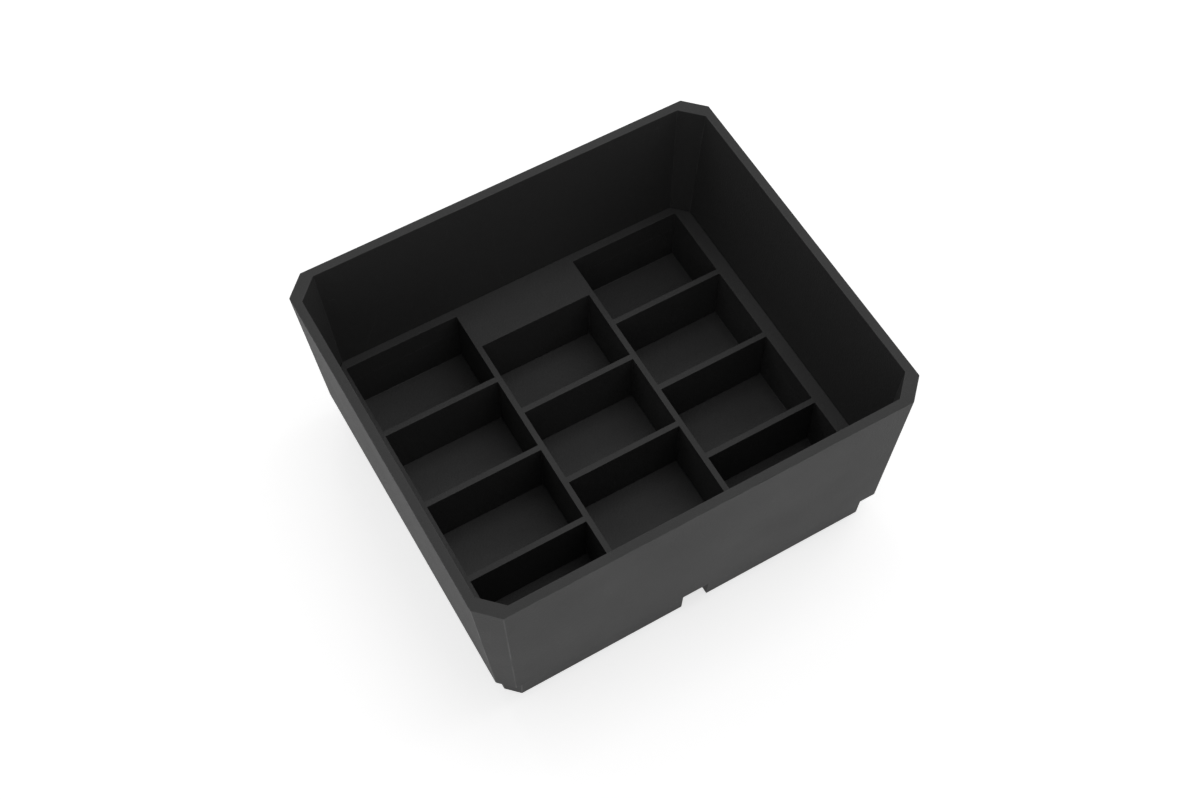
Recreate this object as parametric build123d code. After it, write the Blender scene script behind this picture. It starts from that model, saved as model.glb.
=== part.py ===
from build123d import *
import os

# Battery storage drawer case: a tapered open bin and the lift-out cell grid that stands in it.
# Millimetres. +X runs along the front, +Y towards the back, +Z up. The origin is the middle of the
# footprint, at the underside of the plinth.

# Driving dimensions

cell_width = 27.0           # one pocket takes a 26.5 x 17.5 x 48.5 block battery on its end
cell_length = 18.02
divider = 1.31              # every wall between two pockets
outer_rows = 4              # pockets in the left and right columns
middle_rows = 3             # pockets in the middle column, half a pitch further in

rim_half_x = 49.32          # outer faces at the rim
rim_half_y = 43.2
rim_corner = 4.42           # leg of the flat corner facets
wall = 2.0                  # walls and floor
stand_depth = 48.3          # from the rim to the pocket floors: a battery stands level with the rim
deck_drop = 32.4            # from the rim to the top of the cell grid
lean_x = 0.069              # how far a wall moves in for each millimetre down
lean_y = 0.0345
lean_corner = 0.034

ledge_height = 10.0         # where the outer wall steps in to the plinth
plinth_half_x = 44.34       # outer faces of the plinth at the underside
plinth_half_y = 39.95
plinth_corner = 2.71
plinth_lean = 0.056

bay_width = 6.1             # slots in the plinth that drop over the ribs of a drawer's floor
bay_depth = 6.0
bay_wall = 1.6

grid_clearance = 0.12       # between the grid and the bin at the sides
grid_floor_gap = 0.2        # under the dividers, so that the deck is what seats
deck_plate = 1.6            # thickness of the deck over the two rib bays

# Worked out from them

row_pitch = cell_length + divider
column_pitch = cell_width + divider
cells_half_x = cell_width * 1.5 + divider
cells_half_y = (outer_rows * row_pitch - divider) / 2
middle_half_y = (middle_rows * row_pitch - divider) / 2
floor_top = wall
rim_height = floor_top + stand_depth
deck_top = rim_height - deck_drop
shelf_top = ledge_height + wall     # inside of the step, which carries the grid
over = 1.0                  # how far a cutting block runs past the face that it opens


def facet_outline(half_x, half_y, corner, z):
    """Rectangle with flat corner facets, lying at height z."""
    quarter = [(half_x, half_y - corner), (half_x - corner, half_y)]
    half = quarter + [(-x, y) for x, y in reversed(quarter)]
    ring = half + [(-x, -y) for x, y in half]
    return make_face(Polyline(*[(x, y, z) for x, y in ring], close=True))


def wall_outline(z, inset=0.0):
    """Section of the leaning wall at height z, moved in by inset."""
    drop = rim_height - z
    half_x = rim_half_x - lean_x * drop - inset
    half_y = rim_half_y - lean_y * drop - inset
    return facet_outline(half_x, half_y, rim_corner - lean_corner * drop, z)


def leaning_block(low, high, inset=0.0):
    """Solid between two heights of the leaning wall."""
    return loft([wall_outline(low, inset), wall_outline(high, inset)], ruled=True)


def block(x0, x1, y0, y1, z0, z1):
    """Upright box given by its limits."""
    return Pos((x0 + x1) / 2, (y0 + y1) / 2, (z0 + z1) / 2) * Box(x1 - x0, y1 - y0, z1 - z0)


def plinth():
    """Inset foot of the bin, leaning in slightly towards the underside."""
    out = plinth_lean * ledge_height
    bottom = facet_outline(plinth_half_x, plinth_half_y, plinth_corner, 0)
    top = facet_outline(plinth_half_x + out, plinth_half_y + out, plinth_corner + out, ledge_height)
    return loft([bottom, top], ruled=True)


def rib_bay(side, grow, z0, z1):
    """Slot that runs in from the plinth's front (-1) or back (1) face, larger by grow all round."""
    half_x = bay_width / 2 + grow
    inner = side * (plinth_half_y - bay_depth - grow)
    outer = side * (rim_half_y + over)
    return block(-half_x, half_x, min(inner, outer), max(inner, outer), z0, z1)


def drawer_bin():
    """Open bin: leaning walls, a step in to the plinth, a floor and two rib bays."""
    shell = leaning_block(ledge_height, rim_height) + plinth()
    shell -= leaning_block(shelf_top, rim_height + over, wall)
    well = block(-cells_half_x, cells_half_x, -cells_half_y, cells_half_y, floor_top, shelf_top + over)
    for side in (-1, 1):
        well -= rib_bay(side, bay_wall, floor_top, shelf_top)
    shell -= well
    for side in (-1, 1):
        shell -= rib_bay(side, 0, -over, ledge_height)
    return shell


def pockets():
    """The battery pockets: a staggered middle column between two longer ones."""
    cells = []
    for column, rows in ((-1, outer_rows), (0, middle_rows), (1, outer_rows)):
        for row in range(rows):
            x = column * column_pitch
            y = (row - (rows - 1) / 2) * row_pitch
            z = (floor_top + deck_top) / 2
            cells.append(Pos(x, y, z) * Box(cell_width, cell_length, deck_top - floor_top + 2 * over))
    return cells


def battery_insert():
    """Cell grid: a deck that seats on the bin's shelf, and dividers that reach down to its floor."""
    deck = leaning_block(shelf_top, deck_top, wall + grid_clearance)
    half_x = cell_width / 2 + divider
    low = floor_top + grid_floor_gap
    reach_x = cells_half_x - grid_clearance
    reach_y = cells_half_y - grid_clearance
    grid = deck + block(-reach_x, reach_x, -reach_y, reach_y, low, deck_top)
    for side in (-1, 1):
        inner = side * (middle_half_y + divider)
        outer = side * cells_half_y
        rear = (min(inner, outer), max(inner, outer))
        grid -= block(divider - half_x, half_x - divider, *rear, shelf_top, deck_top - deck_plate)
        outer = side * (cells_half_y + over)
        rear = (min(inner, outer), max(inner, outer))
        grid -= block(divider - half_x, half_x - divider, *rear, floor_top, shelf_top)
    for cell in pockets():
        grid -= cell
    return grid


if __name__ == "__main__":
    os.makedirs("parts", exist_ok=True)
    export_step(drawer_bin(), "parts/drawer_bin.step")
    export_step(battery_insert(), "parts/battery_insert.step")
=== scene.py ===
import math
import bpy
import bmesh
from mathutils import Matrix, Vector


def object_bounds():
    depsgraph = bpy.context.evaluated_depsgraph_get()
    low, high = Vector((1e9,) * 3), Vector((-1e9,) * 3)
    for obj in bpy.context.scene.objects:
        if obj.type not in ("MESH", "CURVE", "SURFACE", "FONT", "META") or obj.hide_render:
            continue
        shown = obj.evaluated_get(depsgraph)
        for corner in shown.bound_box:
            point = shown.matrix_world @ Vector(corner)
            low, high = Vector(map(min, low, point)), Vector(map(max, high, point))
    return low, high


# every length in this file is in metres
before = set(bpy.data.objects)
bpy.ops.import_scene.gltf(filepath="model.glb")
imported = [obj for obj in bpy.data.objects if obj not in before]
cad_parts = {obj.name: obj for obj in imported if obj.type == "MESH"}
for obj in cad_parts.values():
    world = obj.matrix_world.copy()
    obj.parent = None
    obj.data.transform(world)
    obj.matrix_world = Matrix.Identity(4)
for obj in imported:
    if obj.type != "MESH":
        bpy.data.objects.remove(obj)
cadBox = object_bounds()
middle = (cadBox[0] + cadBox[1]) / 2
print("frame loaded:", ", ".join(sorted(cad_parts)))


def grey(value):
    return (value, value, value, 1)


def feed(tree, node, sockets):
    # each named or numbered socket gets a value, or a link from another node
    for name, value in sockets.items():
        if isinstance(value, bpy.types.NodeSocket):
            tree.links.new(value, node.inputs[name])
        else:
            node.inputs[name].default_value = value


def addNode(tree, kind, sockets=None, **settings):
    node = tree.nodes.new(kind)
    for name, value in settings.items():
        setattr(node, name, value)
    feed(tree, node, sockets or {})
    return node


# turn and rise in degrees, about the middle of the object
cameraSet = {"lens": 50, "sensor": 36, "away": 0.350, "turn": -30, "rise": 60, "nearest": 0.01}


def makeCamera():
    # looks at the middle of the object, as the photograph does
    data = bpy.data.cameras.new("camera")
    data.lens = cameraSet["lens"]
    data.sensor_width = cameraSet["sensor"]
    data.clip_start = cameraSet["nearest"]
    camera = bpy.data.objects.new("camera", data)
    turn = math.radians(cameraSet["turn"])
    rise = math.radians(cameraSet["rise"])
    back = Vector((math.sin(turn) * math.cos(rise), -math.cos(turn) * math.cos(rise), math.sin(rise)))
    camera.location = middle + back * cameraSet["away"]
    camera.rotation_euler = (-back).to_track_quat("-Z", "Y").to_euler()
    bpy.context.scene.collection.objects.link(camera)
    bpy.context.scene.camera = camera
    print("camera placed")


worldSet = {"dim": 0.3, "bright": 1.0}


def makeWorld():
    # dim all round for the object, and white for the camera
    world = bpy.data.worlds.new("studio")
    world.use_nodes = True
    tree = world.node_tree
    dim = tree.nodes["Background"]
    feed(tree, dim, {"Color": grey(1), "Strength": worldSet["dim"]})
    bright = addNode(tree, "ShaderNodeBackground", {"Color": grey(1), "Strength": worldSet["bright"]})
    path = addNode(tree, "ShaderNodeLightPath")
    mix = addNode(tree, "ShaderNodeMixShader", {
        "Fac": path.outputs["Is Camera Ray"],
        1: dim.outputs["Background"],
        2: bright.outputs["Background"],
    })
    feed(tree, tree.nodes["World Output"], {"Surface": mix.outputs["Shader"]})
    bpy.context.scene.world = world
    print("world set")


floorSet = {
    "half": 3.0, "drop": 0.0001, "contact": 0.0005, "colour": 0.8, "roughness": 0.9,
    # light back onto the object, and what the camera sees between two distances from the middle
    "bounce": 0.36, "glowNear": 0.68, "glowFar": 1.0, "reachNear": 0.15, "reachFar": 0.45,
}


def floorGlow(tree, path):
    # the camera sees a glow that grows away from the object, so the floor is white up to the horizon,
    # and the outer walls get a little light back from below
    place = addNode(tree, "ShaderNodeTexCoord")
    away = addNode(tree, "ShaderNodeVectorMath", {"Vector": place.outputs["Object"]}, operation="LENGTH")
    grow = addNode(tree, "ShaderNodeMapRange", {
        "Value": away.outputs["Value"],
        "From Min": floorSet["reachNear"],
        "From Max": floorSet["reachFar"],
        "To Min": floorSet["glowNear"],
        "To Max": floorSet["glowFar"],
    })
    gain = addNode(tree, "ShaderNodeMix", {
        "Factor": path.outputs["Is Camera Ray"],
        "A": floorSet["bounce"],
        "B": grow.outputs["Result"],
    })
    glow = addNode(tree, "ShaderNodeEmission", {"Strength": gain.outputs["Result"]})
    return glow.outputs["Emission"]


def floorGap(tree, path):
    # clear from below, and to light that sets out from an underside resting on the floor, so that the
    # underside isn't blacked out and can be looked at
    near = addNode(tree, "ShaderNodeMath", {
        0: path.outputs["Ray Length"], 1: floorSet["contact"],
    }, operation="LESS_THAN")
    shape = addNode(tree, "ShaderNodeNewGeometry")
    gap = addNode(tree, "ShaderNodeMath", {
        0: shape.outputs["Backfacing"], 1: near.outputs["Value"],
    }, operation="MAXIMUM")
    return gap.outputs["Value"]


def makeFloorMaterial():
    material = bpy.data.materials.new("paleFloor")
    material.use_nodes = True
    tree = material.node_tree
    surface = tree.nodes["Principled BSDF"]
    feed(tree, surface, {
        "Base Color": grey(floorSet["colour"]),
        "Roughness": floorSet["roughness"],
        "Specular IOR Level": 0,
    })
    path = addNode(tree, "ShaderNodeLightPath")
    lit = addNode(tree, "ShaderNodeAddShader", {0: surface.outputs["BSDF"], 1: floorGlow(tree, path)})
    clear = addNode(tree, "ShaderNodeBsdfTransparent")
    floor = addNode(tree, "ShaderNodeMixShader", {
        "Fac": floorGap(tree, path),
        1: lit.outputs["Shader"],
        2: clear.outputs["BSDF"],
    })
    feed(tree, tree.nodes["Material Output"], {"Surface": floor.outputs["Shader"]})
    return material


def makeFloor():
    mesh = bpy.data.meshes.new("floor")
    bm = bmesh.new()
    bmesh.ops.create_grid(bm, x_segments=1, y_segments=1, size=floorSet["half"])
    bmesh.ops.translate(bm, verts=bm.verts, vec=(0, 0, -floorSet["drop"]))
    bm.to_mesh(mesh)
    bm.free()
    mesh.materials.append(makeFloorMaterial())
    floor = bpy.data.objects.new("floor", mesh)
    bpy.context.scene.collection.objects.link(floor)
    print("floor laid")


lampSet = {
    # size across and up, place from the object's middle, strength in watts
    "steepRight": {"size": (0.4, 0.4), "at": (0.17, 0, 0.75), "power": 0.68},
    "steepBack": {"size": (0.4, 0.4), "at": (0, 0.27, 0.72), "power": 0.21},
    "highRight": {"size": (0.3, 0.3), "at": (0.45, 0, 0.55), "power": 0.28},
    "highBack": {"size": (0.3, 0.3), "at": (0, 0.45, 0.55), "power": 0.31},
    # low strips light the outer walls and stay below the rim, so that none of it falls inside
    "sideLeft": {"size": (0.9, 0.04), "at": (-0.49, 0.35, -0.004), "power": 0.8},
    "sideRight": {"size": (0.9, 0.04), "at": (0.6, 0, -0.004), "power": 0.9},
    "sideBack": {"size": (0.9, 0.04), "at": (0, 0.6, -0.004), "power": 0.3},
    # reaches the underside alone, through the floor
    "under": {"size": (0.5, 0.5), "at": (0.2, -0.3, -0.6), "power": 1.0},
}


def makeLamps():
    # soft panels that face the middle of the object
    for name, panel in lampSet.items():
        data = bpy.data.lights.new(name, "AREA")
        data.shape = "RECTANGLE"
        data.size, data.size_y = panel["size"]
        data.energy = panel["power"]
        lamp = bpy.data.objects.new(name, data)
        place = Vector(panel["at"])
        lamp.location = middle + place
        lamp.rotation_euler = (-place).to_track_quat("-Z", "Y").to_euler()
        lamp.visible_camera = False
        bpy.context.scene.collection.objects.link(lamp)
    print("studio lit")


def newGroup(name, inputs, output):
    # a shared effect: numbers in, each with its default, and one mask or height out
    tree = bpy.data.node_groups.new(name, "ShaderNodeTree")
    for label, value in inputs.items():
        socket = tree.interface.new_socket(label, in_out="INPUT", socket_type="NodeSocketFloat")
        socket.default_value = value
    tree.interface.new_socket(output, in_out="OUTPUT", socket_type="NodeSocketFloat")
    return tree, addNode(tree, "NodeGroupInput"), addNode(tree, "NodeGroupOutput")


def scaledPlace(tree, source):
    # object coordinates divided by the group's size, so that the size is that of one grain or patch
    place = addNode(tree, "ShaderNodeTexCoord")
    rate = addNode(tree, "ShaderNodeMath", {0: 1, 1: source.outputs["Size"]}, operation="DIVIDE")
    scaled = addNode(tree, "ShaderNodeVectorMath", {
        "Vector": place.outputs["Object"], "Scale": rate.outputs["Value"],
    }, operation="SCALE")
    return scaled.outputs["Vector"]


grainShape = {"toothRate": 2.7, "toothDetail": 1}


def makeGrainGroup():
    # spark-eroded mould texture: rounded bumps, with a finer tooth over them
    tree, source, target = newGroup("mouldGrain", {"Size": 0.0005, "Tooth": 0.35}, "Height")
    place = scaledPlace(tree, source)
    bumps = addNode(tree, "ShaderNodeTexNoise", {"Vector": place, "Scale": 1, "Detail": 0})
    tooth = addNode(tree, "ShaderNodeTexNoise", {
        "Vector": place, "Scale": grainShape["toothRate"], "Detail": grainShape["toothDetail"],
    })
    blend = addNode(tree, "ShaderNodeMix", {
        "Factor": source.outputs["Tooth"],
        "A": bumps.outputs["Fac"],
        "B": tooth.outputs["Fac"],
    })
    feed(tree, target, {"Height": blend.outputs["Result"]})
    return tree


mottleShape = {"detail": 5, "roughness": 0.55, "mean": 0.5}


def makeMottleGroup():
    # faint patches where the melt cooled at different rates, from 0 to 1, spread about their mean
    tree, source, target = newGroup("coolingMottle", {"Size": 0.02, "Contrast": 1.0}, "Patch")
    patch = addNode(tree, "ShaderNodeTexNoise", {
        "Vector": scaledPlace(tree, source),
        "Scale": 1,
        "Detail": mottleShape["detail"],
        "Roughness": mottleShape["roughness"],
    })
    centred = addNode(tree, "ShaderNodeMath", {
        0: patch.outputs["Fac"], 1: mottleShape["mean"],
    }, operation="SUBTRACT")
    spread = addNode(tree, "ShaderNodeMath", {
        0: centred.outputs["Value"], 1: source.outputs["Contrast"], 2: mottleShape["mean"],
    }, operation="MULTIPLY_ADD", use_clamp=True)
    feed(tree, target, {"Patch": spread.outputs["Value"]})
    return tree


# the noise is drawn out upwards and tilted a little (radians), and a mark runs where it is within
# halfWidth of level; a spot is several marks across, and fades in from spotFrom to spotFull;
# upright is the most that a face's normal may point up or down
markShape = {
    "stretch": 16, "tilt": (0.05, 0.04, 0), "level": 0.5, "halfWidth": 0.005,
    "spotRate": 0.25, "spotDetail": 2, "spotFrom": 0.48, "spotFull": 0.66, "upright": 0.3,
}


def hairlines(tree, place):
    drawn = addNode(tree, "ShaderNodeMapping", {
        "Vector": place, "Rotation": markShape["tilt"], "Scale": (1, 1, markShape["stretch"]),
    }, vector_type="TEXTURE")
    streaks = addNode(tree, "ShaderNodeTexNoise", {
        "Vector": drawn.outputs["Vector"], "Scale": 1, "Detail": 0,
    })
    line = addNode(tree, "ShaderNodeMath", {
        0: streaks.outputs["Fac"], 1: markShape["level"], 2: markShape["halfWidth"],
    }, operation="COMPARE")
    return line.outputs["Value"]


def scatteredSpots(tree, place):
    spots = addNode(tree, "ShaderNodeTexNoise", {
        "Vector": place, "Scale": markShape["spotRate"], "Detail": markShape["spotDetail"],
    })
    gate = addNode(tree, "ShaderNodeMapRange", {
        "Value": spots.outputs["Fac"],
        "From Min": markShape["spotFrom"],
        "From Max": markShape["spotFull"],
    })
    return gate.outputs["Result"]


def uprightFaces(tree):
    shape = addNode(tree, "ShaderNodeNewGeometry")
    facing = addNode(tree, "ShaderNodeSeparateXYZ", {"Vector": shape.outputs["True Normal"]})
    upright = addNode(tree, "ShaderNodeMath", {
        0: facing.outputs["Z"], 1: 0, 2: markShape["upright"],
    }, operation="COMPARE")
    return upright.outputs["Value"]


def makeMarkGroup():
    # hairline marks left by what slides in and out, in scattered spots of the upright faces
    tree, source, target = newGroup("slideMarks", {"Size": 0.003, "Amount": 0.5}, "Mark")
    place = scaledPlace(tree, source)
    mark = source.outputs["Amount"]
    for mask in (hairlines(tree, place), scatteredSpots(tree, place), uprightFaces(tree)):
        mark = addNode(tree, "ShaderNodeMath", {0: mark, 1: mask}, operation="MULTIPLY").outputs["Value"]
    feed(tree, target, {"Mark": mark})
    return tree


# places of the colour sockets among those that a mix node keeps for every kind of value
mixSockets = {"below": 6, "above": 7, "result": 2}


def mixColour(tree, amount, below, above):
    mix = addNode(tree, "ShaderNodeMix", {
        "Factor": amount,
        mixSockets["below"]: below,
        mixSockets["above"]: above,
    }, data_type="RGBA")
    return mix.outputs[mixSockets["result"]]


binPlastic = {
    "darkGrey": 0.058, "lightGrey": 0.066, "patchSize": 0.018, "patchContrast": 1.6,
    "roughest": 0.66, "smoothest": 0.56, "specular": 0.3,
    "grainSize": 0.0004, "tooth": 0.35, "grainDepth": 0.00009,
    "markGrey": 0.11, "markSize": 0.003, "markAmount": 0.3,
}
insertPlastic = dict(binPlastic, darkGrey=0.057, lightGrey=0.065, patchSize=0.013, markAmount=0.2)
# on the eased edges handling has worn the grain off here and there: smoother, with a little shine, and
# paler, which is partly wear and partly a painted highlight along every edge
edgeWearAndHighlight = {
    "darkGrey": 0.062, "lightGrey": 0.088, "patchSize": 0.005, "patchContrast": 3.0,
    "roughest": 0.56, "smoothest": 0.42, "grainDepth": 0.00001,
}


def makePlastic(name, finish):
    # matte dark grey plastic as it comes out of a textured mould
    material = bpy.data.materials.new(name)
    material.use_nodes = True
    tree = material.node_tree
    grain = addNode(tree, "ShaderNodeGroup", {
        "Size": finish["grainSize"], "Tooth": finish["tooth"],
    }, node_tree=grainGroup)
    mottle = addNode(tree, "ShaderNodeGroup", {
        "Size": finish["patchSize"], "Contrast": finish["patchContrast"],
    }, node_tree=mottleGroup)
    marks = addNode(tree, "ShaderNodeGroup", {
        "Size": finish["markSize"], "Amount": finish["markAmount"],
    }, node_tree=markGroup)
    patch = mottle.outputs["Patch"]
    patchy = mixColour(tree, patch, grey(finish["darkGrey"]), grey(finish["lightGrey"]))
    marked = mixColour(tree, marks.outputs["Mark"], patchy, grey(finish["markGrey"]))
    dull = addNode(tree, "ShaderNodeMapRange", {
        "Value": patch, "To Min": finish["roughest"], "To Max": finish["smoothest"],
    })
    relief = addNode(tree, "ShaderNodeBump", {
        "Strength": 1, "Distance": finish["grainDepth"], "Height": grain.outputs["Height"],
    })
    feed(tree, tree.nodes["Principled BSDF"], {
        "Base Color": marked,
        "Roughness": dull.outputs["Result"],
        "Specular IOR Level": finish["specular"],
        "Normal": relief.outputs["Normal"],
    })
    return material


def makeShadeSmooth():
    # the loaded faces carry mixed shading, so all are set smooth before the normals are weighted
    tree = bpy.data.node_groups.new("shadeSmooth", "GeometryNodeTree")
    for direction in ("INPUT", "OUTPUT"):
        tree.interface.new_socket("Geometry", in_out=direction, socket_type="NodeSocketGeometry")
    source = addNode(tree, "NodeGroupInput")
    smooth = addNode(tree, "GeometryNodeSetShadeSmooth", {"Geometry": source.outputs["Geometry"]})
    addNode(tree, "NodeGroupOutput", {"Geometry": smooth.outputs["Geometry"]})
    return tree


# faces within flat of each other are merged, edges sharper than angle are eased, and slot is the
# place of the edge material
edgeSet = {
    "weld": 0.000002, "flat": math.radians(1), "faceWeight": 100,
    "width": 0.00014, "segments": 2, "angle": math.radians(25), "slot": 1,
}


def breakEdges(part):
    # the loaded mesh is loose triangles: joined, flattened, and then every sharp edge is eased
    weld = part.modifiers.new("weld", "WELD")
    weld.merge_threshold = edgeSet["weld"]
    flatten = part.modifiers.new("flatten", "DECIMATE")
    flatten.decimate_type = "DISSOLVE"
    flatten.angle_limit = edgeSet["flat"]
    bevel = part.modifiers.new("bevel", "BEVEL")
    bevel.width = edgeSet["width"]
    bevel.segments = edgeSet["segments"]
    bevel.limit_method = "ANGLE"
    bevel.angle_limit = edgeSet["angle"]
    bevel.material = edgeSet["slot"]
    smooth = part.modifiers.new("smooth", "NODES")
    smooth.node_group = shadeSmooth
    weighted = part.modifiers.new("weighted", "WEIGHTED_NORMAL")
    weighted.weight = edgeSet["faceWeight"]


def dress(node, finish):
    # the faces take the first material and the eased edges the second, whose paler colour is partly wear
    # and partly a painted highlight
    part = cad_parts[node]
    part.data.materials.clear()
    part.data.materials.append(makePlastic(node + "Plastic", finish))
    part.data.materials.append(makePlastic(node + "Edge", dict(finish, **edgeWearAndHighlight)))
    breakEdges(part)
    print(node, "dressed")


makeCamera()
makeWorld()
makeFloor()
makeLamps()
grainGroup = makeGrainGroup()
mottleGroup = makeMottleGroup()
markGroup = makeMarkGroup()
shadeSmooth = makeShadeSmooth()
dress("drawer_bin", binPlastic)
dress("battery_insert", insertPlastic)

bpy.context.scene.view_settings.view_transform = "Standard"
